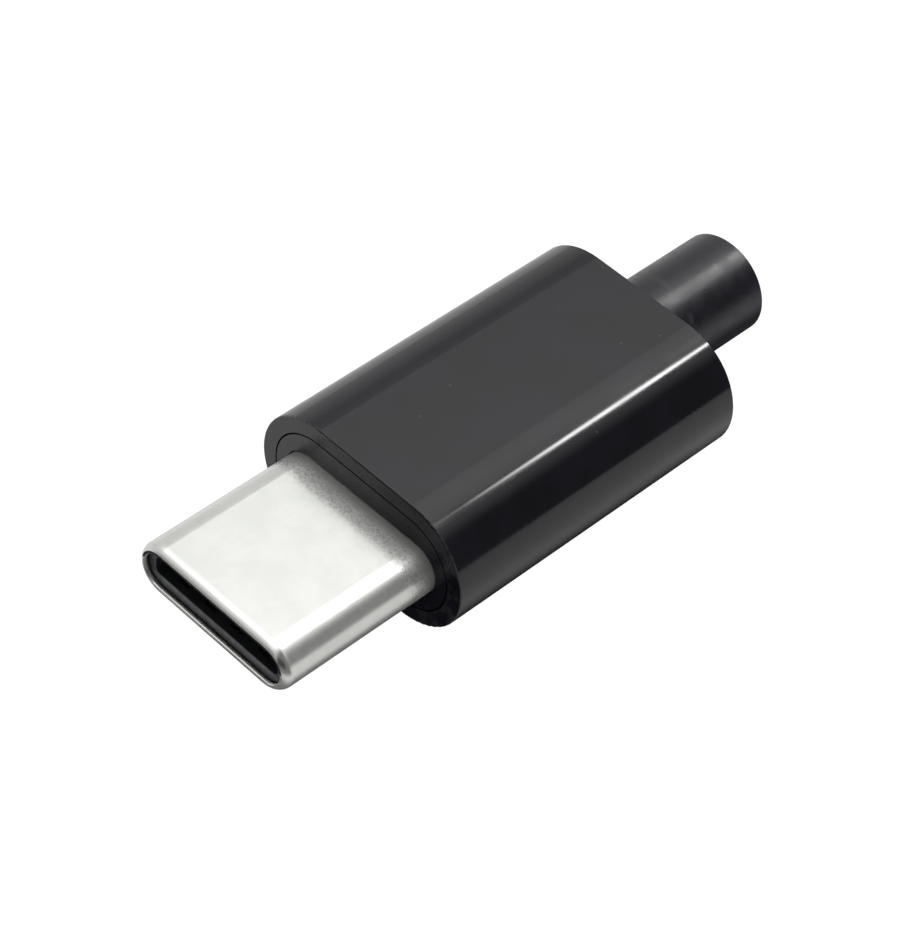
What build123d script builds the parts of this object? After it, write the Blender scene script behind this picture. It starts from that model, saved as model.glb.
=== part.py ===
from build123d import *
import os
from math import cos, radians, sin

# A reversible cable plug lying on its flat underside. Sizes are in millimetres.
# The mouth faces -Y, the round tail points to +Y and the contact rows lie across X.
# "Depth" is the distance behind the mouth, and "height" the distance from the plug's middle plane.

os.makedirs("parts", exist_ok=True)

# Drawn steel shell
shell_width = 8.25
shell_height = 2.40
shell_wall = 0.20
shell_protrusion = 7.65
shell_grip = 2.40
lip_radius = 0.50
lip_angle = 55.0
leg_width = 0.80
leg_edge = 0.025
leg_reach = 0.65
leg_drop_run = 0.55
leg_foot = 0.80
leg_bend = 0.10

# Outer sleeve and tail, one moulding
sleeve_side = 1.40
sleeve_height = 6.0
sleeve_length = 15.55
sleeve_wall = 0.72
sleeve_end_wall = 1.20
sleeve_edge_round = 0.08
tail_shoulder = 0.76
tail_lift = 0.24
tail_length = 5.45
tail_wall = 0.60
tail_root_round = 0.12
rear_chamfer = 0.10
cable_lead_in = 0.20
stop_rib_width = 1.40
stop_rib_height = 0.35

# Inner collar, pushed into the sleeve's mouth
collar_gap = 0.07
collar_length = 8.60
collar_wall = 0.50
collar_face = 1.60
shell_gap = 0.05
snap_width = 3.00
snap_length = 1.00
snap_height = 0.24
snap_setback = 1.20
snap_gap = 0.08
rail_height = 1.90
rail_grip = 0.22
rail_setback = 0.30
rail_gap = 0.03

# Insulator inside the shell
insulator_recess = 0.30
insulator_gap = 0.03
insulator_length = 6.90
insulator_chamfer = 0.08
tongue_side_wall = 0.495
tongue_cover = 0.53
tongue_corner = 0.25

# Wafers that hold the contact rows
wafer_nose_length = 0.90
wafer_nose_gap = 0.02
wafer_cover = 0.08
wafer_flange_length = 1.80

# Contacts
contact_row_margin = 0.65
contact_count = 12
contact_width = 0.24
contact_thickness = 0.12
contact_cover = 0.13
contact_point_depth = 2.70
contact_point_reach = 0.35
contact_tip_run = 0.55
contact_tip_rise = 0.32
contact_point_bend = 0.25
contact_knee_setback = 0.30
contact_knee_bend = 0.60
contact_drop_start = 0.30
contact_drop_run = 0.40
contact_drop_bend = 0.15
contact_foot = 1.20
signal_setback = 0.40
groove_gap = 0.04
groove_lead = 0.20
groove_length = 2.30

# Side latches
latch_thickness = 0.15
latch_height = 0.70
latch_point_depth = 3.00
latch_point_reach = 0.23
latch_tip_run = 0.50
latch_tip_rise = 0.25
latch_rise_run = 1.00
latch_bend = 0.20
latch_tail = 1.00
latch_gap = 0.04
latch_window_margin = 0.30
latch_window_length = 3.60

# Ground springs
spring_thickness = 0.10
spring_margin = 0.60
spring_plate_front = 1.75
spring_plate_length = 2.40
spring_recess = 0.12
spring_gap = 0.05
finger_width = 0.50
finger_margin = 0.30
finger_count = 4
finger_point_depth = 1.12
finger_point_reach = 0.50
finger_tip_run = 0.28
finger_tip_rise = 0.15
finger_bend = 0.12
finger_window_front = 0.62
finger_window_gap = 0.20

# Circuit board
board_side_gap = 0.395
board_length = 7.70
board_thickness = 0.80
board_gap = 0.30
pad_thickness = 0.04
pad_margin = 0.04
wire_pad_width = 0.95
wire_pad_length = 1.70
wire_pad_margin = 0.775
wire_pad_count = 4
wire_pad_setback = 0.35
resistor_length = 1.00
resistor_width = 0.50
resistor_height = 0.35
resistor_cap = 0.25
resistor_cap_step = 0.02
resistor_place = 1.20
resistor_setback = 1.10

# Places worked out from the sizes above
overall_length = shell_protrusion + sleeve_length + tail_length
mouth_y = -overall_length / 2
middle_z = sleeve_height / 2
sleeve_width = shell_width + 2 * sleeve_side
tail_diameter = sleeve_height - 2 * tail_shoulder
cable_bore = tail_diameter - 2 * tail_wall
sleeve_front = shell_protrusion
sleeve_rear = sleeve_front + sleeve_length
collar_rear = sleeve_front + collar_length
shell_rear = sleeve_front + shell_grip
shell_straight = (shell_width - shell_height) / 2
leg_offset = shell_straight - leg_edge - leg_width / 2
insulator_width = shell_width - 2 * (shell_wall + insulator_gap)
insulator_height = shell_height - 2 * (shell_wall + insulator_gap)
insulator_rear = insulator_recess + insulator_length
tongue_width = insulator_width - 2 * tongue_side_wall
tongue_height = insulator_height - 2 * tongue_cover
spring_seat = insulator_height / 2 - spring_recess
spring_width = tongue_width - 2 * spring_margin
finger_pitch = (spring_width - 2 * finger_margin - finger_width) / (finger_count - 1)
finger_point_height = spring_seat - finger_point_reach
contact_pitch = (tongue_width - 2 * contact_row_margin) / (contact_count - 1)
contact_level = spring_seat - contact_cover - contact_thickness
contact_point_height = contact_level - contact_point_reach
wafer_front = insulator_rear - wafer_nose_length
wafer_rear = insulator_rear + wafer_flange_length
wafer_nose_height = contact_level + contact_thickness + wafer_cover
board_front = wafer_rear + board_gap
board_rear = board_front + board_length
board_width = insulator_width - 2 * board_side_gap
wire_pad_pitch = (board_width - 2 * wire_pad_margin - wire_pad_width) / (wire_pad_count - 1)
pad_height = board_thickness / 2 + pad_thickness
contact_drop = wafer_rear + contact_drop_start
contact_foot_front = contact_drop + contact_drop_run
contact_end = contact_foot_front + contact_foot
latch_end = board_front + latch_tail
latch_window_front = latch_point_depth - latch_tip_run - latch_window_margin
latch_slot_height = latch_height + 2 * latch_gap
leg_drop = shell_rear + leg_reach
leg_foot_front = leg_drop + leg_drop_run
leg_end = leg_foot_front + leg_foot
rail_front = latch_end + rail_setback
groove_width = contact_width + 2 * groove_gap
groove_front = contact_point_depth - contact_tip_run - groove_lead
groove_height = contact_level + contact_thickness + groove_gap
upper_pins = (1, 4, 5, 6, 7, 9, 12)
lower_pins = (1, 4, 5, 9, 12)
signal_pins = (5, 6, 7)


def across(depth):
    """Plane across the plug at a depth behind the mouth, looking out of the mouth."""
    return Plane(origin=(0, mouth_y + depth, middle_z), x_dir=(1, 0, 0), z_dir=(0, -1, 0))


def along(offset):
    """Upright plane along the plug, beside its middle: local x is depth, local y is height."""
    return Plane(origin=(offset, mouth_y, middle_z), x_dir=(0, 1, 0), z_dir=(1, 0, 0))


def level(height):
    """Level plane at a height from the middle: local x is across, local y is depth."""
    return Plane(origin=(0, mouth_y, middle_z + height), x_dir=(1, 0, 0), z_dir=(0, 0, 1))


def pin_place(pin, row):
    """Distance of a contact from the middle: the two rows are numbered in opposite directions."""
    return -row * (pin - (contact_count + 1) / 2) * contact_pitch


def save(piece, name):
    """Labels a finished piece and writes it as its own file."""
    piece.label = name
    export_step(piece, f"parts/{name}.step")


# Outer sleeve: full-round section, closed at the rear, with the round tail a little above its middle
with BuildPart() as outer_sleeve:
    with BuildSketch(across(sleeve_front)):
        SlotOverall(sleeve_width, sleeve_height)
    extrude(amount=-sleeve_length)
    fillet(outer_sleeve.faces().sort_by(Axis.Y)[0].edges(), sleeve_edge_round)
    chamfer(outer_sleeve.faces().sort_by(Axis.Y)[-1].edges(), rear_chamfer)
    with BuildSketch(across(sleeve_rear)):
        with Locations((0, tail_lift)):
            Circle(tail_diameter / 2)
    extrude(amount=-tail_length)
    tail_rims = outer_sleeve.edges(Select.LAST).filter_by(GeomType.CIRCLE).sort_by(Axis.Y)
    fillet(tail_rims[0], tail_root_round)
    chamfer(outer_sleeve.faces().sort_by(Axis.Y)[-1].edges(), rear_chamfer)
    with BuildSketch(across(sleeve_front)):
        SlotOverall(sleeve_width - 2 * sleeve_wall, sleeve_height - 2 * sleeve_wall)
    extrude(amount=-(sleeve_length - sleeve_end_wall), mode=Mode.SUBTRACT)
    with BuildSketch(across(sleeve_rear - sleeve_end_wall)):
        with Locations((0, tail_lift)):
            Circle(cable_bore / 2)
    extrude(amount=-(sleeve_end_wall + tail_length), mode=Mode.SUBTRACT)
    bore_rims = outer_sleeve.edges(Select.LAST).filter_by(GeomType.CIRCLE).sort_by(Axis.Y)
    chamfer(bore_rims[0], cable_lead_in)
    # Ribs that stop the collar flush with the sleeve's mouth
    with BuildSketch(across(collar_rear)):
        Rectangle(stop_rib_width, sleeve_height - sleeve_wall)
        Rectangle(stop_rib_width, sleeve_height - 2 * (sleeve_wall + stop_rib_height), mode=Mode.SUBTRACT)
    extrude(amount=-(sleeve_length - collar_length - sleeve_end_wall))
    # Pockets that the collar's snap wedges click into
    snap_pocket_height = sleeve_height - 2 * (sleeve_wall + collar_gap) + 2 * (snap_height + snap_gap)
    with BuildSketch(across(collar_rear - snap_setback - snap_length - snap_gap)):
        Rectangle(snap_width + 2 * snap_gap, snap_pocket_height)
    extrude(amount=-(snap_length + 2 * snap_gap), mode=Mode.SUBTRACT)
save(outer_sleeve.part, "outer_sleeve")

# Inner collar: a tube with a thick face that the shell passes through, and rails for the board
collar_width = sleeve_width - 2 * (sleeve_wall + collar_gap)
collar_height = sleeve_height - 2 * (sleeve_wall + collar_gap)
with BuildPart() as inner_collar:
    with BuildSketch(across(sleeve_front)):
        SlotOverall(collar_width, collar_height)
    extrude(amount=-collar_length)
    with BuildSketch(across(sleeve_front + collar_face)):
        SlotOverall(collar_width - 2 * collar_wall, collar_height - 2 * collar_wall)
    extrude(amount=-(collar_length - collar_face), mode=Mode.SUBTRACT)
    with BuildSketch(across(sleeve_front)):
        SlotOverall(shell_width + 2 * shell_gap, shell_height + 2 * shell_gap)
    extrude(amount=-collar_face, mode=Mode.SUBTRACT)
    # Side rails, slotted for the edges of the board
    with BuildSketch(across(rail_front)):
        SlotOverall(collar_width - collar_wall, collar_height - collar_wall)
        Rectangle(collar_width, rail_height, mode=Mode.INTERSECT)
        Rectangle(board_width - 2 * rail_grip, collar_height, mode=Mode.SUBTRACT)
        Rectangle(board_width + 2 * rail_gap, board_thickness + 2 * rail_gap, mode=Mode.SUBTRACT)
    extrude(amount=-(collar_rear - rail_front))
    # Snap wedges on the top and the underside, rising towards the mouth
    with BuildSketch(along(-snap_width / 2)):
        with BuildLine():
            Polyline(
                (collar_rear - snap_setback, 0),
                (collar_rear - snap_setback, collar_height / 2),
                (collar_rear - snap_setback - snap_length, collar_height / 2 + snap_height),
                (collar_rear - snap_setback - snap_length, 0),
                close=True,
            )
        make_face()
        Rectangle(overall_length * 2, collar_height - collar_wall, mode=Mode.SUBTRACT)
        mirror(about=Plane.XZ)
    extrude(amount=snap_width)
save(inner_collar.part, "inner_collar")

# Plug shell: one wall profile, drawn straight over the flats and turned round the sides
bend_middle_radius = lip_radius - shell_wall / 2
lip_end = 90 + lip_angle
bend_centre = (bend_middle_radius * sin(radians(lip_angle)) + shell_wall / 2, shell_height / 2 - lip_radius)
nose_centre = (
    bend_centre[0] + bend_middle_radius * cos(radians(lip_end)),
    bend_centre[1] + bend_middle_radius * sin(radians(lip_end)),
)
with BuildSketch(along(0), mode=Mode.PRIVATE) as shell_wall_profile:
    with BuildLine():
        outer_bend = CenterArc(bend_centre, lip_radius, 90, lip_angle)
        CenterArc(nose_centre, shell_wall / 2, lip_end, 180)
        inner_bend = CenterArc(bend_centre, lip_radius - shell_wall, lip_end, -lip_angle)
        Polyline(
            inner_bend @ 1,
            (shell_rear, shell_height / 2 - shell_wall),
            (shell_rear, shell_height / 2),
            outer_bend @ 0,
        )
    make_face()
with BuildPart() as plug_shell:
    with BuildSketch(along(0)):
        add(shell_wall_profile.sketch_local)
        mirror(about=Plane.XZ)
    extrude(amount=shell_straight, both=True)
    for side in (1, -1):
        with BuildSketch(along(side * shell_straight)):
            add(shell_wall_profile.sketch_local)
        revolve(axis=Axis((side * shell_straight, 0, middle_z), (0, side, 0)), revolution_arc=180)
    # Legs at the rear, stepped down to the board's pads above and below
    for side in (1, -1):
        with BuildSketch(along(side * leg_offset - leg_width / 2)):
            with BuildLine():
                FilletPolyline(
                    (shell_rear, shell_height / 2 - shell_wall),
                    (leg_drop, shell_height / 2 - shell_wall),
                    (leg_foot_front, pad_height),
                    (leg_end, pad_height),
                    radius=leg_bend,
                )
                offset(amount=shell_wall, side=Side.LEFT)
            make_face()
            mirror(about=Plane.XZ)
        extrude(amount=leg_width)
save(plug_shell.part, "plug_shell")

# Insulator: a full-round block with the tongue's cavity, contact grooves and openings for the springs
finger_window_rear = spring_plate_front + finger_window_gap
with BuildPart() as insulator:
    with BuildSketch(across(insulator_recess)):
        SlotOverall(insulator_width, insulator_height)
    extrude(amount=-insulator_length)
    chamfer(insulator.faces().sort_by(Axis.Y)[0].edges(), insulator_chamfer)
    with BuildSketch(across(insulator_recess)):
        RectangleRounded(tongue_width, tongue_height, tongue_corner)
    extrude(amount=-insulator_length, mode=Mode.SUBTRACT)
    with BuildSketch(across(groove_front)):
        with GridLocations(contact_pitch, 0, contact_count, 1):
            Rectangle(groove_width, 2 * groove_height)
    extrude(amount=-groove_length, mode=Mode.SUBTRACT)
    # Relief above and below the spring beams, as wide as the comb of grooves in front of it
    with BuildSketch(across(groove_front + groove_length)):
        Rectangle((contact_count - 1) * contact_pitch + groove_width, 2 * groove_height)
    extrude(amount=-(insulator_rear - groove_front - groove_length), mode=Mode.SUBTRACT)
    # Pocket for the noses of the wafers
    with BuildSketch(across(wafer_front)):
        Rectangle(tongue_width + 2 * wafer_nose_gap, 2 * (wafer_nose_height + wafer_nose_gap))
    extrude(amount=-wafer_nose_length, mode=Mode.SUBTRACT)
    # Side windows for the latch points, and the channels behind them
    with BuildSketch(across(latch_window_front)):
        Rectangle(insulator_width, latch_slot_height)
    extrude(amount=-latch_window_length, mode=Mode.SUBTRACT)
    with BuildSketch(across(latch_window_front)):
        Rectangle(board_width + 2 * (latch_thickness + latch_gap), latch_slot_height)
    extrude(amount=-(insulator_rear - latch_window_front), mode=Mode.SUBTRACT)
    # Seats and finger windows for the ground springs, above and below
    with BuildSketch(along(-spring_width / 2 - spring_gap)):
        with Locations((spring_plate_front - spring_gap, spring_seat)):
            Rectangle(spring_plate_length + 2 * spring_gap, spring_recess * 2, align=(Align.MIN, Align.MIN))
        mirror(about=Plane.XZ)
    extrude(amount=spring_width + 2 * spring_gap, mode=Mode.SUBTRACT)
    with BuildSketch(across(finger_window_front)):
        with GridLocations(finger_pitch, 0, finger_count, 1):
            Rectangle(finger_width + 2 * spring_gap, shell_height)
    extrude(amount=-(finger_window_rear - finger_window_front), mode=Mode.SUBTRACT)
save(insulator.part, "insulator")


def wafer(row, pins):
    """One moulded half behind the insulator: a nose in the insulator's pocket and a flange in the shell."""
    with BuildPart() as half:
        with BuildSketch(across(insulator_rear)):
            SlotOverall(insulator_width, insulator_height)
            with Locations((0, row * insulator_height / 2)):
                Rectangle(insulator_width, insulator_height, mode=Mode.INTERSECT)
            Rectangle(insulator_width, latch_slot_height, mode=Mode.SUBTRACT)
            with Locations((0, row * latch_slot_height / 4)):
                Rectangle(board_width - 2 * latch_gap, latch_slot_height / 2)
        extrude(amount=-wafer_flange_length)
        with BuildSketch(across(wafer_front)):
            with Locations((0, row * wafer_nose_height / 2)):
                Rectangle(tongue_width, wafer_nose_height)
        extrude(amount=-wafer_nose_length)
        slot_height = row * (contact_level + contact_thickness / 2)
        with BuildSketch(across(wafer_front)):
            with Locations([(pin_place(pin, row), slot_height) for pin in pins]):
                Rectangle(contact_width, contact_thickness)
        extrude(amount=-(wafer_rear - wafer_front), mode=Mode.SUBTRACT)
    return half.part


def contact(row, pin):
    """A stamped strip: curled tip, contact point, spring beam, held stretch and a foot on the board's pad."""
    setback = signal_setback if pin in signal_pins else 0
    point_depth = contact_point_depth + setback
    with BuildPart() as strip:
        with BuildSketch(along(pin_place(pin, row) - contact_width / 2)):
            with BuildLine():
                FilletPolyline(
                    (point_depth - contact_tip_run, row * (contact_point_height + contact_tip_rise)),
                    (point_depth, row * contact_point_height),
                    (wafer_front - contact_knee_setback, row * contact_level),
                    (contact_drop, row * contact_level),
                    (contact_foot_front, row * pad_height),
                    (contact_end, row * pad_height),
                    radius=(contact_point_bend, contact_knee_bend, contact_drop_bend, contact_drop_bend),
                )
                offset(amount=contact_thickness, side=Side.LEFT if row > 0 else Side.RIGHT)
            make_face()
        extrude(amount=contact_width)
    return strip.part


def side_latch(side):
    """A spring arm in the insulator's side, with a point that reaches into the tongue's cavity."""
    seat = board_width / 2
    point = tongue_width / 2 - latch_point_reach
    with BuildPart() as arm:
        with BuildSketch(level(-latch_height / 2)):
            with BuildLine():
                FilletPolyline(
                    (side * (point + latch_tip_rise), latch_point_depth - latch_tip_run),
                    (side * point, latch_point_depth),
                    (side * seat, latch_point_depth + latch_rise_run),
                    (side * seat, latch_end),
                    radius=latch_bend,
                )
                offset(amount=latch_thickness, side=Side.RIGHT if side > 0 else Side.LEFT)
            make_face()
        extrude(amount=latch_height)
    return arm.part


def ground_spring(row):
    """A plate in its seat on the insulator, with fingers bent through the windows into the cavity."""
    with BuildPart() as spring:
        with BuildSketch(along(-spring_width / 2)):
            with Locations((spring_plate_front, row * (spring_seat + spring_thickness / 2))):
                Rectangle(spring_plate_length, spring_thickness, align=(Align.MIN, Align.CENTER))
        extrude(amount=spring_width)
        for number in range(finger_count):
            place = (number - (finger_count - 1) / 2) * finger_pitch
            with BuildSketch(along(place - finger_width / 2)):
                with BuildLine():
                    FilletPolyline(
                        (finger_point_depth - finger_tip_run, row * (finger_point_height + finger_tip_rise)),
                        (finger_point_depth, row * finger_point_height),
                        (spring_plate_front, row * spring_seat),
                        (spring_plate_front + spring_plate_length / 2, row * spring_seat),
                        radius=finger_bend,
                    )
                    offset(amount=spring_thickness, side=Side.LEFT if row > 0 else Side.RIGHT)
                make_face()
            extrude(amount=finger_width)
    return spring.part


for row, row_name, pins in ((1, "upper", upper_pins), (-1, "lower", lower_pins)):
    save(wafer(row, pins), f"wafer_{row_name}")
    save(ground_spring(row), f"ground_spring_{row_name}")
    for pin in pins:
        save(contact(row, pin), f"contact_{'a' if row > 0 else 'b'}{pin}")
for side, side_name in ((1, "right"), (-1, "left")):
    save(side_latch(side), f"side_latch_{side_name}")

# Circuit board, with its edges in the collar's rails
with BuildPart() as circuit_board:
    with BuildSketch(across(board_front)):
        Rectangle(board_width, board_thickness)
    extrude(amount=-board_length)
save(circuit_board.part, "circuit_board")

# Plated pads: under the contact feet and the shell's legs, for the cable's wires, and for the resistor
wire_pad_middle = board_rear - wire_pad_setback - wire_pad_length / 2
resistor_middle = leg_end + resistor_setback
contact_pad_middle = (contact_foot_front + contact_end) / 2
with BuildPart() as board_pads:
    for row, pins in ((1, upper_pins), (-1, lower_pins)):
        with BuildSketch(level(row * board_thickness / 2)):
            with Locations([(pin_place(pin, row), contact_pad_middle) for pin in pins]):
                Rectangle(contact_width + 2 * pad_margin, contact_foot + 2 * pad_margin)
            with Locations([(side * leg_offset, (leg_foot_front + leg_end) / 2) for side in (1, -1)]):
                Rectangle(leg_width + 2 * pad_margin, leg_foot + 2 * pad_margin)
            with Locations((0, wire_pad_middle)):
                with GridLocations(wire_pad_pitch, 0, wire_pad_count, 1):
                    Rectangle(wire_pad_width, wire_pad_length)
        extrude(amount=row * pad_thickness)
    with BuildSketch(level(board_thickness / 2)):
        with Locations((resistor_place, resistor_middle)):
            with GridLocations(resistor_length, 0, 2, 1):
                Rectangle(2 * resistor_cap, resistor_width + 2 * pad_margin)
    extrude(amount=pad_thickness)
save(board_pads.part, "board_pads")

# Chip resistor across its two pads, with a metal cap at each end
with BuildPart() as sense_resistor:
    with BuildSketch(level(pad_height)):
        with Locations((resistor_place, resistor_middle)):
            Rectangle(resistor_length - 2 * resistor_cap, resistor_width - 2 * resistor_cap_step)
    extrude(amount=resistor_height - resistor_cap_step)
    with BuildSketch(level(pad_height)):
        with Locations((resistor_place, resistor_middle)):
            with GridLocations(resistor_length - resistor_cap, 0, 2, 1):
                Rectangle(resistor_cap, resistor_width)
    extrude(amount=resistor_height)
save(sense_resistor.part, "sense_resistor")
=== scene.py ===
import math

import bmesh
import bpy
from mathutils import Matrix, Vector


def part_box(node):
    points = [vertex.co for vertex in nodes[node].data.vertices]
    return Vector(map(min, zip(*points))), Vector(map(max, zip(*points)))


# A reversible cable plug: a glossy black sleeve with its tail, a bright steel shell and the parts they hold.
# The mouth faces -Y and the tail +Y, and the plug lies on the floor at z = 0. The scene is in metres, and
# the finishes count in millimetres.

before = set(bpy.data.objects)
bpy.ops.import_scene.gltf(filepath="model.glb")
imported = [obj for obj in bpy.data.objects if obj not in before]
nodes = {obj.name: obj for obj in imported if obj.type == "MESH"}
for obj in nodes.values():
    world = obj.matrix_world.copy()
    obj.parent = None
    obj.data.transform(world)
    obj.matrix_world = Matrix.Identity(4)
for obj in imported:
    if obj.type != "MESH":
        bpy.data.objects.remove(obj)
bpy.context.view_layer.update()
mm = 0.001


# Places read from the frame, in millimetres as the finishes use them

def reach(node, axis):
    """Lowest and highest place of a node along X, Y or Z."""
    low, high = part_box(node)
    number = "XYZ".index(axis)
    return low[number] / mm, high[number] / mm


sleeve_front, tail_end = reach("outer_sleeve", "Y")
sleeve_bottom, sleeve_top = reach("outer_sleeve", "Z")
collar_front = reach("inner_collar", "Y")[0]
shell_front = reach("plug_shell", "Y")[0]
insulator_front = reach("insulator", "Y")[0]
wafer_rear = reach("wafer_upper", "Y")[1]
resistor_left, resistor_right = reach("sense_resistor", "X")
tail_length = 5.45
sleeve_rear = tail_end - tail_length
middle_height = (sleeve_bottom + sleeve_top) / 2

# What the finishes draw, in millimetres. Behind the sleeve's rear lie the end of its polish and a scuffed
# arc, in front of the sleeve a painted dark reflection of it as a film and a band of grains, and behind the
# shell's front the end of a painted dark reflection on the lip's corner.
polish_end = (-0.05, 0.10)
scuffed_arc = (1.30, 1.42)
sleeve_reflection_reach = (0.6, 0.1)
reflection_grain_band = (1.00, 0.50)
corner_reflection_end = (0.45, 0.75)
rim_width = 0.05
track_pitch = 0.50
ply_pitch = 0.16
cap_length = 0.26


# Finishes: each is a procedural material on the plug's own Object coordinates, measured in millimetres

class Finish:
    """A material under construction, with short names for the nodes that the finishes below share."""

    def __init__(self, name, metallic=0.0):
        self.material = bpy.data.materials.new(name)
        self.material.use_nodes = True
        self.tree = self.material.node_tree
        self.shader = self.tree.nodes["Principled BSDF"]
        self.coordinates = self.tree.nodes.new("ShaderNodeTexCoord")
        self.place = self.stretched((1, 1, 1))
        self.set("Metallic", metallic)

    def link(self, source, target):
        """Feeds a socket from another socket, or sets it to a plain value."""
        if isinstance(source, bpy.types.NodeSocket):
            self.tree.links.new(source, target)
        else:
            target.default_value = source

    def set(self, channel, source):
        """Feeds a channel of the shader from a socket, or sets it to a plain value."""
        self.link(source, self.shader.inputs[channel])

    def stretched(self, per_mm):
        """Object coordinates times a number of steps per millimetre along each axis."""
        mapping = self.tree.nodes.new("ShaderNodeMapping")
        mapping.inputs["Scale"].default_value = [steps / mm for steps in per_mm]
        self.tree.links.new(self.coordinates.outputs["Object"], mapping.inputs["Vector"])
        return mapping.outputs["Vector"]

    def part_of(self, vector, axis):
        """The X, Y or Z part of a vector."""
        split = self.tree.nodes.new("ShaderNodeSeparateXYZ")
        self.tree.links.new(vector, split.inputs[0])
        return split.outputs[axis]

    def along(self, axis):
        """The place along X, Y or Z in millimetres."""
        return self.part_of(self.place, axis)

    def facing(self, axis):
        """How far the surface faces along X, Y or Z of the plug."""
        return self.part_of(self.coordinates.outputs["Normal"], axis)

    def noise(self, per_mm, detail=3.0, roughness=0.55):
        """Soft noise with this many steps per millimetre, one number or one for each axis."""
        steps = per_mm if isinstance(per_mm, tuple) else (per_mm, per_mm, per_mm)
        texture = self.tree.nodes.new("ShaderNodeTexNoise")
        texture.inputs["Scale"].default_value = 1.0
        texture.inputs["Detail"].default_value = detail
        texture.inputs["Roughness"].default_value = roughness
        self.tree.links.new(self.stretched(steps), texture.inputs["Vector"])
        return texture.outputs["Fac"]

    def specks(self, per_mm, start, end):
        """1 at the middles of scattered cells, this many to the millimetre, fading out from start to end."""
        texture = self.tree.nodes.new("ShaderNodeTexVoronoi")
        texture.inputs["Scale"].default_value = 1.0
        self.tree.links.new(self.stretched((per_mm, per_mm, per_mm)), texture.inputs["Vector"])
        return self.remap(texture.outputs["Distance"], start, end, 1.0, 0.0)

    def remap(self, value, start, end, low=0.0, high=1.0):
        """Value from low to high as the input goes smoothly from start to end, held outside."""
        ramp = self.tree.nodes.new("ShaderNodeMapRange")
        ramp.interpolation_type = "SMOOTHSTEP"
        self.link(value, ramp.inputs["Value"])
        ramp.inputs["From Min"].default_value = start
        ramp.inputs["From Max"].default_value = end
        ramp.inputs["To Min"].default_value = low
        ramp.inputs["To Max"].default_value = high
        return ramp.outputs["Result"]

    def varied(self, noise, low, high):
        """A value that wanders from low to high with a noise."""
        return self.remap(noise, 0.3, 0.7, low, high)

    def band(self, value, start, end, soft):
        """1 between start and end, falling to 0 over a soft edge on each side."""
        rise = self.remap(value, start - soft, start)
        fall = self.remap(value, end, end + soft, 1.0, 0.0)
        return self.times(rise, fall)

    def maths(self, operation, first, second=0.0):
        """One arithmetic step on two values."""
        step = self.tree.nodes.new("ShaderNodeMath")
        step.operation = operation
        self.link(first, step.inputs[0])
        self.link(second, step.inputs[1])
        return step.outputs[0]

    def plus(self, first, second):
        """The sum of two values."""
        return self.maths("ADD", first, second)

    def minus(self, first, second):
        """The first value less the second."""
        return self.maths("SUBTRACT", first, second)

    def times(self, first, second):
        """The product of two values."""
        return self.maths("MULTIPLY", first, second)

    def distance(self, first, second):
        """The length of a vector with two parts."""
        return self.maths("SQRT", self.plus(self.times(first, first), self.times(second, second)))

    def mixed(self, kind, share, first, second):
        """From the first to the second as share goes from 0 to 1; the kind is RGBA or FLOAT."""
        mix = self.tree.nodes.new("ShaderNodeMix")
        mix.data_type = kind
        self.link(share, mix.inputs["Factor"])
        self.link(first, mix.inputs["A"])
        self.link(second, mix.inputs["B"])
        return mix.outputs["Result"]

    def blend(self, share, first, second):
        """From the first colour to the second as share goes from 0 to 1."""
        return self.mixed("RGBA", share, first, second)

    def mix_values(self, share, first, second):
        """From the first value to the second as share goes from 0 to 1."""
        return self.mixed("FLOAT", share, first, second)

    def clouded(self, noise, first, second, start=0.3, end=0.7):
        """Two colours that drift into each other with a noise."""
        return self.blend(self.remap(noise, start, end), first, second)

    def covered(self, colour, mask, share, cover):
        """A colour with a share of another laid over it where the mask is 1."""
        return self.blend(self.times(mask, share), colour, cover)

    def raised(self, value, mask, amount):
        """A value with an amount added where the mask is 1."""
        return self.plus(value, self.times(mask, amount))

    def lowered(self, value, mask, amount):
        """A value with an amount taken off where the mask is 1."""
        return self.minus(value, self.times(mask, amount))

    def relief(self, height, depth_mm, strength, over=None):
        """Bump of a given depth in millimetres, laid over an earlier one."""
        bump = self.tree.nodes.new("ShaderNodeBump")
        bump.inputs["Distance"].default_value = depth_mm * mm
        bump.inputs["Strength"].default_value = strength
        self.tree.links.new(height, bump.inputs["Height"])
        if over is not None:
            self.tree.links.new(over, bump.inputs["Normal"])
        return bump.outputs["Normal"]

    def finish(self, colour, roughness, normal):
        """Connects the finished channels and hands back the material."""
        self.set("Base Color", colour)
        self.set("Roughness", roughness)
        self.set("Normal", normal)
        return self.material


def grey(level, warm=0.0):
    """A near-neutral colour; warm above 0 leans to yellow, below 0 to blue."""
    return (level * (1 + warm), level, level * (1 - 2 * warm), 1.0)


def violet_black(level):
    """The moulding's black, which leans a little to violet."""
    return (level * 1.12, level, level * 1.55, 1.0)


def dim_front_by_painted_shade(look):
    """Takes most of the shine off a moulding's front face, more and more from left to right, as painted
    shade.
    """
    full_shine = 0.5
    most_shaded = 0.82
    # Painted shade: less shine toward the right, where the face would mirror the shadow under the shell
    in_front = look.remap(look.facing("Y"), -0.95, -0.80, 1.0, 0.0)
    to_right = look.remap(look.along("X"), -4.2, 3.2)
    painted_front_shade = look.times(look.times(in_front, to_right), most_shaded)
    look.set("Specular IOR Level", look.lowered(full_shine, painted_front_shade, full_shine))


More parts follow.
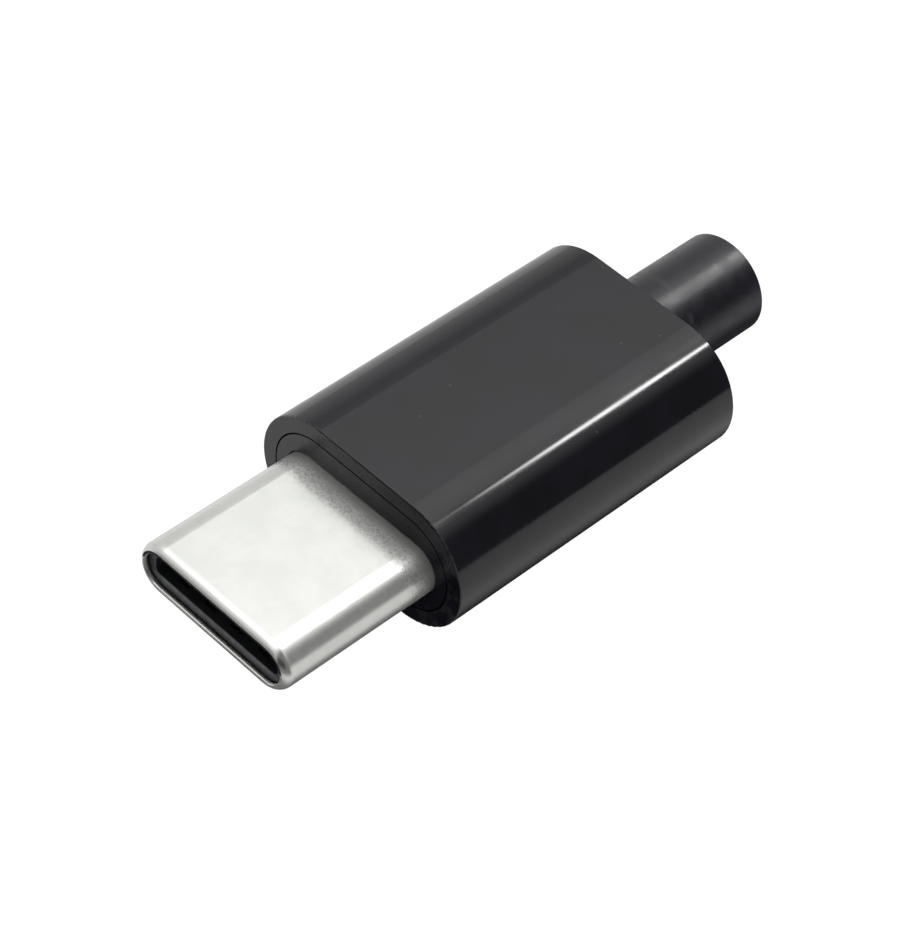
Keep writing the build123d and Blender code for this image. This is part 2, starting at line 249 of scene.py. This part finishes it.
def sleeve_plastic():
    """Glossy black moulding: polished sleeve, duller tail, handling marks, a painted rim highlight and front
    shade.
    """
    look = Finish("sleeve_plastic")
    dim_front_by_painted_shade(look)
    y = look.along("Y")
    on_tail = look.remap(y, sleeve_rear + polish_end[0], sleeve_rear + polish_end[1])
    # Colour: almost black with a violet cast, clouded a little by the moulding flow
    flow = look.noise(0.45, detail=2.0)
    body = look.clouded(flow, violet_black(0.0040), violet_black(0.0058), 0.35, 0.65)
    tail = look.clouded(flow, violet_black(0.0060), violet_black(0.0085), 0.35, 0.65)
    colour = look.blend(on_tail, body, tail)
    # Dust in a few places, and a paler line along the sleeve's front rim: rubbed wear and a painted highlight
    colour = look.covered(colour, look.specks(0.45, 0.022, 0.034), 0.25, grey(0.10))
    rim = look.band(y, sleeve_front, sleeve_front + rim_width, 0.04)
    rubbed_and_highlight = look.times(rim, look.remap(look.noise(1.2), 0.45, 0.65))
    colour = look.covered(colour, rubbed_and_highlight, 0.20, grey(0.05))
    # A scuffed arc just behind the sleeve, where the tail has been gripped
    arc = look.band(y, sleeve_rear + scuffed_arc[0], sleeve_rear + scuffed_arc[1], 0.10)
    arc = look.times(arc, look.remap(look.noise(0.8, detail=1.0), 0.52, 0.62))
    colour = look.covered(colour, arc, 0.12, grey(0.10))
    # Gloss: hazy and faintly streaked on the sleeve, satin on the tail
    haze = look.varied(look.noise(0.30, detail=2.0), 0.10, 0.14)
    streak = look.remap(look.noise((5.0, 0.25, 5.0), detail=4.0), 0.60, 0.75)
    body_gloss = look.raised(haze, streak, 0.04)
    tail_gloss = look.varied(look.noise(1.6, detail=4.0), 0.27, 0.37)
    gloss = look.mix_values(on_tail, body_gloss, tail_gloss)
    gloss = look.raised(gloss, rubbed_and_highlight, 0.25)
    gloss = look.raised(gloss, arc, 0.12)
    # Surface: slow waviness of the moulding, fine grain, and a rougher tail
    wave = look.relief(look.noise(0.22, detail=1.0), 0.003, 0.5)
    grain = look.relief(look.noise(9.0, detail=2.0), 0.0003, 0.4, over=wave)
    rough = look.relief(look.times(look.noise(14.0, detail=4.0), on_tail), 0.003, 0.6, over=grain)
    return look.finish(colour, gloss, rough)


def collar_plastic():
    """The same black moulding as the sleeve, a little duller, with scuffs and painted shade on its front
    face.
    """
    look = Finish("collar_plastic")
    dim_front_by_painted_shade(look)
    cloud = look.noise(0.9, detail=3.0)
    colour = look.clouded(cloud, violet_black(0.0040), violet_black(0.0060), 0.35, 0.65)
    on_face = look.remap(look.along("Y"), collar_front, collar_front + 0.05, 1.0, 0.0)
    scuff = look.times(on_face, look.remap(look.noise(2.2, detail=5.0), 0.56, 0.68))
    colour = look.covered(colour, scuff, 0.12, grey(0.03))
    gloss = look.varied(look.noise(1.2, detail=3.0), 0.14, 0.20)
    gloss = look.raised(gloss, scuff, 0.10)
    wave = look.relief(look.noise(0.6, detail=1.0), 0.004, 0.5)
    grain = look.relief(look.noise(11.0, detail=3.0), 0.0012, 0.6, over=wave)
    return look.finish(colour, gloss, grain)


def on_upper_lip_front(look):
    """1 on the front of the lip round the upper half of the shell's mouth."""
    in_front = look.remap(look.facing("Y"), -0.83, -0.76, 1.0, 0.0)
    upper = look.remap(look.along("Z"), middle_height + 0.10, middle_height + 0.30)
    return look.times(in_front, upper)


def on_low_parts(look):
    """1 on the lowest parts of the shell that face up: the lower edge of its mouth and the floor inside."""
    lower = look.remap(look.along("Z"), middle_height - 0.95, middle_height - 0.80, 1.0, 0.0)
    return look.times(lower, look.remap(look.facing("Z"), -0.3, 0.1))


def on_inside_wall(look, y):
    """1 on the inside of the shell's wall, from a little behind the lip."""
    above = look.minus(look.along("Z"), middle_height)
    outward = look.plus(look.times(above, look.facing("Z")), look.times(look.along("X"), look.facing("X")))
    inward = look.remap(outward, -0.6, -0.3, 1.0, 0.0)
    return look.times(inward, look.remap(y, shell_front + 0.18, shell_front + 0.34))


def on_lip_corner(look, y):
    """1 on the upper right corner of the shell's lip, where it turns from the front to the side."""
    turning = look.band(look.facing("Y"), -0.78, -0.30, 0.22)
    corner = look.times(turning, look.remap(look.facing("X"), 0.28, 0.50))
    corner = look.times(corner, look.remap(look.facing("Z"), 0.10, 0.35))
    near_lip = look.remap(y, shell_front + corner_reflection_end[0], shell_front + corner_reflection_end[1], 1.0, 0.0)
    return look.times(corner, near_lip)


def shell_steel():
    """Drawn stainless steel: satin, faint stripes along the plug, duller and grainy near the collar, with
    painted reflection and shade.
    """
    look = Finish("shell_steel")
    y = look.along("Y")
    # Colour: pale steel with drawing lines along the plug
    tone = look.noise(0.7, detail=3.0)
    colour = look.clouded(tone, (0.725, 0.735, 0.700, 1), (0.765, 0.775, 0.738, 1), 0.35, 0.65)
    lines = look.noise((26.0, 0.9, 26.0), detail=5.0, roughness=0.65)
    colour = look.blend(look.remap(lines, 0.35, 0.65, 0.0, 0.22), colour, grey(0.66, 0.008))
    # A painted dark reflection of the sleeve close to the collar: an even film and a band of grains
    painted_sleeve_reflection = look.remap(y, sleeve_front - sleeve_reflection_reach[0], sleeve_front - sleeve_reflection_reach[1])
    colour = look.covered(colour, painted_sleeve_reflection, 0.55, grey(0.22, 0.01))
    strip = look.band(y, sleeve_front - reflection_grain_band[0], sleeve_front - reflection_grain_band[1], 0.35)
    painted_reflection_grains = look.times(strip, look.remap(look.noise(8.0, detail=4.0, roughness=0.75), 0.47, 0.58))
    colour = look.covered(colour, painted_reflection_grains, 0.40, grey(0.20, 0.01))
    # The mouth: the front of the upper lip nearly black, painted shade on the low parts and on the wall
    # inside behind the lip, and a painted dark reflection on the lip's corner
    upper_lip_front = on_upper_lip_front(look)
    colour = look.covered(colour, upper_lip_front, 0.99, grey(0.012))
    colour = look.covered(colour, on_low_parts(look), 0.50, grey(0.20))
    colour = look.covered(colour, on_inside_wall(look, y), 0.85, grey(0.10))
    colour = look.covered(colour, on_lip_corner(look, y), 0.80, grey(0.10))
    # Gloss: satin, even on the lip, duller where the shell enters the collar and on the front of the upper
    # lip
    near_collar = look.remap(y, sleeve_front - 1.6, sleeve_front - 0.2)
    lip = look.remap(y, shell_front + 0.10, shell_front + 0.60, 1.0, 0.0)
    gloss = look.mix_values(lip, look.varied(look.noise(4.0, detail=4.0), 0.21, 0.27), 0.24)
    gloss = look.raised(gloss, near_collar, 0.12)
    gloss = look.raised(gloss, upper_lip_front, 0.45)
    # The satin surface scatters a part of the light, and the front of the upper lip hardly mirrors at all
    mirror_share = 0.77
    look.set("Metallic", look.lowered(mirror_share, upper_lip_front, mirror_share))
    look.set("Specular IOR Level", look.lowered(0.50, upper_lip_front, 0.40))
    # Surface: fine grain, coarser near the collar, and the drawing lines
    grain = look.relief(look.noise(13.0, detail=3.0), 0.0014, 0.4)
    coarse = look.times(look.noise(9.0, detail=4.0, roughness=0.7), near_collar)
    grain = look.relief(coarse, 0.012, 0.7, over=grain)
    drawn = look.relief(lines, 0.0006, 0.4, over=grain)
    return look.finish(colour, gloss, drawn)


def insulator_plastic():
    """Matt dark moulding with a fine filler grain."""
    look = Finish("insulator_plastic")
    look.set("Specular IOR Level", 0.25)
    colour = look.clouded(look.noise(1.5), grey(0.009, -0.04), grey(0.015, -0.06))
    colour = look.covered(colour, look.specks(9.0, 0.10, 0.16), 0.25, grey(0.04))
    # The ring's front in the mouth gets painted light, a paler clouded grey, less so close to the middle
    in_mouth = look.remap(look.along("Y"), insulator_front + 0.05, insulator_front + 0.15, 1.0, 0.0)
    ring = look.times(in_mouth, look.remap(look.facing("Y"), -0.9, -0.6, 1.0, 0.0))
    from_middle = look.maths("ABSOLUTE", look.minus(look.along("Z"), middle_height))
    ring = look.times(ring, look.remap(from_middle, 0.42, 0.58, 0.35, 1.0))
    painted_pale_ring = look.clouded(look.noise(3.0, detail=4.0), grey(0.090, -0.02), grey(0.145, -0.02), 0.35, 0.65)
    colour = look.blend(ring, colour, painted_pale_ring)
    gloss = look.varied(look.noise(5.0, detail=4.0), 0.36, 0.50)
    grain = look.relief(look.noise(16.0, detail=4.0), 0.0025, 0.6)
    return look.finish(colour, gloss, grain)


def wafer_plastic():
    """Glass-filled black moulding, with short pale fibres at its surface."""
    look = Finish("wafer_plastic")
    colour = look.clouded(look.noise(2.0), grey(0.020), grey(0.032))
    fibre = look.remap(look.noise((3.0, 24.0, 24.0), detail=2.0), 0.66, 0.74)
    colour = look.covered(colour, fibre, 0.5, grey(0.14, 0.02))
    gloss = look.varied(look.noise(6.0, detail=4.0), 0.42, 0.58)
    grain = look.relief(look.noise((6.0, 22.0, 22.0), detail=3.0), 0.003, 0.6)
    return look.finish(colour, gloss, grain)


def contact_gold():
    """Gold plating on the spring end and tin on the feet, with rolling lines."""
    look = Finish("contact_gold", metallic=1.0)
    gold = look.clouded(look.noise(2.5), (0.78, 0.50, 0.17, 1), (0.87, 0.61, 0.24, 1))
    tin = look.clouded(look.noise(5.0), grey(0.52, 0.01), grey(0.66, 0.01))
    wander = look.plus(look.along("Y"), look.remap(look.noise(3.0), 0.2, 0.8, -0.15, 0.15))
    on_feet = look.remap(wander, wafer_rear + 0.05, wafer_rear + 0.25)
    colour = look.blend(on_feet, gold, tin)
    rolling = look.noise((40.0, 2.0, 40.0), detail=3.0)
    gloss = look.mix_values(on_feet, look.varied(rolling, 0.14, 0.26), look.varied(rolling, 0.30, 0.42))
    grain = look.relief(rolling, 0.0012, 0.5)
    return look.finish(colour, gloss, grain)


def spring_steel():
    """Bare stainless strip with rolling lines and a few warm stains."""
    look = Finish("spring_steel", metallic=1.0)
    rolling = look.noise((30.0, 1.2, 30.0), detail=4.0)
    colour = look.clouded(rolling, grey(0.50, 0.01), grey(0.62, 0.01))
    stain = look.remap(look.noise(1.8, detail=4.0), 0.55, 0.70)
    colour = look.covered(colour, stain, 0.35, (0.42, 0.36, 0.28, 1))
    gloss = look.varied(look.noise(6.0, detail=3.0), 0.22, 0.34)
    gloss = look.raised(gloss, stain, 0.10)
    grain = look.relief(rolling, 0.0015, 0.6)
    return look.finish(colour, gloss, grain)


def pad_plating():
    """Thin gold over copper pads, slightly orange-peeled, with patches of tarnish."""
    look = Finish("pad_plating", metallic=1.0)
    colour = look.clouded(look.noise(3.5), (0.74, 0.49, 0.20, 1), (0.84, 0.60, 0.28, 1))
    tarnish = look.remap(look.noise(1.2, detail=5.0), 0.56, 0.70)
    colour = look.covered(colour, tarnish, 0.4, (0.46, 0.29, 0.14, 1))
    gloss = look.varied(look.noise(8.0, detail=4.0), 0.24, 0.40)
    peel = look.relief(look.noise(7.0, detail=2.0), 0.004, 0.5)
    return look.finish(colour, gloss, peel)


def board_laminate():
    """Green mask over faint tracks on both faces, and bare glass laminate at the cut edges."""
    look = Finish("board_laminate")
    on_face = look.remap(look.maths("ABSOLUTE", look.facing("Z")), 0.4, 0.6)
    mask = look.clouded(look.noise(0.8), (0.006, 0.062, 0.028, 1), (0.010, 0.085, 0.038, 1))
    # Tracks run along the board, a paler green where the copper lies under the mask
    track_wave = look.maths("SINE", look.times(look.along("X"), 2 * math.pi / track_pitch))
    track = look.remap(track_wave, 0.35, 0.65)
    track = look.times(track, look.remap(look.noise((0.9, 0.35, 0.9), detail=0.0), 0.46, 0.50))
    mask = look.covered(mask, track, 0.55, (0.022, 0.150, 0.062, 1))
    # The edges show the glass cloth's plies
    ply_wave = look.maths("SINE", look.times(look.along("Z"), 2 * math.pi / ply_pitch))
    cloth = look.times(look.remap(ply_wave, -0.2, 0.6), look.remap(look.noise((9.0, 9.0, 2.0)), 0.35, 0.65))
    edge = look.blend(cloth, (0.30, 0.24, 0.11, 1), (0.52, 0.45, 0.26, 1))
    colour = look.blend(on_face, edge, mask)
    gloss = look.mix_values(on_face, 0.65, look.varied(look.noise(3.0), 0.24, 0.34))
    weave = look.relief(look.noise((4.5, 4.5, 1.0), detail=1.0), 0.004, 0.4)
    copper = look.relief(track, 0.010, 0.6, over=weave)
    return look.finish(colour, gloss, copper)


def resistor_ceramic():
    """A chip of white ceramic under a black glaze, with tinned caps at both ends."""
    look = Finish("resistor_ceramic")
    centre = (resistor_left + resistor_right) / 2
    half = (resistor_right - resistor_left) / 2
    from_middle = look.maths("ABSOLUTE", look.minus(look.along("X"), centre))
    on_cap = look.remap(from_middle, half - cap_length, half - cap_length + 0.02)
    on_top = look.remap(look.facing("Z"), 0.5, 0.7)
    glaze = look.clouded(look.noise(6.0), grey(0.012), grey(0.022))
    ceramic = look.clouded(look.noise(9.0), grey(0.62, 0.01), grey(0.74, 0.01))
    tin = look.clouded(look.noise(7.0, detail=4.0), grey(0.50, 0.01), grey(0.68, 0.01))
    colour = look.blend(on_cap, look.blend(on_top, ceramic, glaze), tin)
    chip_gloss = look.mix_values(on_top, 0.60, 0.22)
    gloss = look.mix_values(on_cap, chip_gloss, look.varied(look.noise(9.0), 0.26, 0.42))
    look.set("Metallic", on_cap)
    pebble = look.relief(look.noise(12.0, detail=3.0), 0.004, 0.5)
    return look.finish(colour, gloss, pebble)


def wear(names, material):
    """Gives the named nodes a finish."""
    for name in names:
        for slot in nodes[name].material_slots:
            slot.material = material


wear(["outer_sleeve"], sleeve_plastic())
wear(["inner_collar"], collar_plastic())
wear(["plug_shell"], shell_steel())
wear(["insulator"], insulator_plastic())
wear(["wafer_upper", "wafer_lower"], wafer_plastic())
wear([name for name in nodes if name.startswith("contact_")], contact_gold())
wear(["side_latch_left", "side_latch_right", "ground_spring_upper", "ground_spring_lower"], spring_steel())
wear(["board_pads"], pad_plating())
wear(["circuit_board"], board_laminate())
wear(["sense_resistor"], resistor_ceramic())


# Studio, in metres: a pale floor in an even room, under a wide ceiling whose glow changes softly from patch
# to patch. Dark cards shade the plug's right side, its front faces and the corner of its lip. Small lamps
# draw the bright line on the sleeve's right shoulder, the gleam on the rims and the light on the tail. The
# camera doesn't see the ceiling, the cards and the lamps.

# The camera stands where the outlines of the shell and the sleeve fit the photograph
camera_azimuth = math.radians(40.108)
camera_elevation = math.radians(46.042)
camera_roll = math.radians(7.408)
camera_distance = 118.485 * mm
camera_lens = 121.06
sensor_width = 36.0
aim_point = Vector((1.586, -3.736, 5.617)) * mm

# Brightness as the shader's emission strength; a card brighter than the least lamp is sampled as a lamp
room_brightness = 0.68
least_lamp_brightness = 10.0
floor_width = 4.0
floor_drop = 0.05 * mm
ceiling_width = 1.3
ceiling_height = 0.30
line_lean = math.radians(-12)

scene = bpy.context.scene
scene.view_settings.view_transform = "Standard"


def plane(name, width, height, material):
    """A flat card or floor about the origin, facing up."""
    shape = bmesh.new()
    bmesh.ops.create_grid(shape, x_segments=1, y_segments=1, size=0.5)
    bmesh.ops.scale(shape, verts=shape.verts, vec=(width, height, 1))
    mesh = bpy.data.meshes.new(name)
    shape.to_mesh(mesh)
    shape.free()
    mesh.materials.append(material)
    flat = bpy.data.objects.new(name, mesh)
    scene.collection.objects.link(flat)
    return flat


def matt_glow(surface, colour, glow, sampling="NONE"):
    """A studio surface without shine: its colour in other light, and a white glow of its own."""
    surface.set("Base Color", colour)
    surface.set("Roughness", 1.0)
    surface.set("Specular IOR Level", 0.0)
    surface.set("Emission Color", grey(1.0))
    surface.set("Emission Strength", glow)
    surface.material.cycles.emission_sampling = sampling
    return surface.material


def shaded_by_plug():
    """The floor as the plug reflects it: pale at both sides, dark under the plug, glowing far to the left."""
    surface = Finish("floor_shade")
    across = surface.along("X")
    under_plug = surface.band(across, -3.5, 4.5, 3.0)
    colour = surface.blend(under_plug, grey(0.72), grey(0.06))
    return matt_glow(surface, colour, surface.remap(across, -40.0, -8.0, 0.08, 0.0))


def lit_ceiling(patches):
    """The room's brightness, with soft patches, placed in millimetres, that add to it or take from it."""
    surface = Finish("ceiling_glow")
    x, y = surface.along("X"), surface.along("Y")
    glow = room_brightness
    for patch in patches:
        (middle_x, middle_y), (half_x, half_y) = patch["middle"], patch["half_size"]
        across = surface.maths("DIVIDE", surface.minus(x, middle_x), half_x)
        along = surface.maths("DIVIDE", surface.minus(y, middle_y), half_y)
        away = surface.distance(across, along)
        glow = surface.plus(glow, surface.remap(away, patch["even_share"], 1.0, patch["added"], 0.0))
    return matt_glow(surface, grey(0.0), glow)


def graded(name, width, height, middle, rim, even_share):
    """A card's glow: one brightness out to a share of its half size, easing to another at its rim."""
    surface = Finish(name)
    across = surface.times(surface.along("X"), 2 * mm / width)
    upright = surface.times(surface.along("Y"), 2 * mm / height)
    glow = surface.remap(surface.distance(across, upright), even_share, 1.0, middle, rim)
    return matt_glow(surface, grey(0.0), glow, "AUTO" if middle > least_lamp_brightness else "NONE")


def card(name, direction, distance, width, height, middle, rim, even_share, lean=0.0):
    """Hangs a graded card in a direction from the plug, facing it, out of the camera's sight."""
    towards = Vector(direction).normalized()
    turn = (-towards).to_track_quat("Z", "Y") @ Matrix.Rotation(lean, 3, "Z").to_quaternion()
    hung = plane(name, width, height, graded(name, width, height, middle, rim, even_share))
    hung.matrix_world = Matrix.Translation(towards * distance) @ turn.to_matrix().to_4x4()
    hung.visible_camera = False


world = bpy.data.worlds.new("even_room")
world.use_nodes = True
world.node_tree.nodes["Background"].inputs["Color"].default_value = grey(1.0)
world.node_tree.nodes["Background"].inputs["Strength"].default_value = room_brightness
scene.world = world

# The camera sees a plain white floor. Reflections see another just above it, with the plug's shade on it.
white = matt_glow(Finish("floor_white"), grey(0.10), 1.0, "AUTO")
floor = plane("floor", floor_width, floor_width, white)
floor.location.z = -floor_drop
floor.visible_glossy = False
shaded_floor = plane("shaded_floor", floor_width, floor_width, shaded_by_plug())
shaded_floor.visible_camera = False
shaded_floor.visible_diffuse = False
shaded_floor.visible_shadow = False

ceiling = plane("ceiling", ceiling_width, ceiling_width, lit_ceiling((
    {"added": 1.05, "middle": (-60.0, 60.0), "half_size": (260.0, 460.0), "even_share": 0.15},
    {"added": 0.35, "middle": (-184.0, -70.0), "half_size": (150.0, 150.0), "even_share": 0.20},
    {"added": -0.10, "middle": (-383.0, 305.0), "half_size": (150.0, 150.0), "even_share": 0.30},
)))
ceiling.location.z = ceiling_height
ceiling.visible_camera = False

card("dark_card_right", direction=(0.77, 0.556, 0.25), distance=0.20, width=0.34, height=0.34,
     middle=0.09, rim=room_brightness, even_share=0.50)
card("dark_card_front", direction=(-0.05, -0.97, 0.08), distance=0.25, width=0.70, height=0.40,
     middle=0.06, rim=room_brightness, even_share=0.35)
card("dark_card_corner", direction=(0.66, -0.73, 0.17), distance=0.22, width=0.26, height=0.24,
     middle=0.03, rim=room_brightness, even_share=0.55)
card("line_lamp", direction=(0.202, 0.596, 0.777), distance=0.34, width=0.042, height=0.082,
     middle=31.0, rim=0.0, even_share=0.30, lean=line_lean)
card("rim_lamp", direction=(0.21, 0.30, 0.93), distance=0.28, width=0.024, height=0.024,
     middle=24.0, rim=0.0, even_share=0.5)
card("tail_lamp", direction=(-0.007, 0.690, 0.724), distance=0.29, width=0.066, height=0.026,
     middle=45.0, rim=0.0, even_share=0.5)

toward_camera = Vector((
    math.sin(camera_azimuth) * math.cos(camera_elevation),
    -math.cos(camera_azimuth) * math.cos(camera_elevation),
    math.sin(camera_elevation),
))
camera_turn = toward_camera.to_track_quat("Z", "Y") @ Matrix.Rotation(camera_roll, 3, "Z").to_quaternion()
camera_place = Matrix.Translation(aim_point + toward_camera * camera_distance)
camera_data = bpy.data.cameras.new("camera")
camera_data.lens = camera_lens
camera_data.sensor_width = sensor_width
camera_data.clip_start = 10 * mm
camera = bpy.data.objects.new("camera", camera_data)
camera.matrix_world = camera_place @ camera_turn.to_matrix().to_4x4()
scene.collection.objects.link(camera)
scene.camera = camera
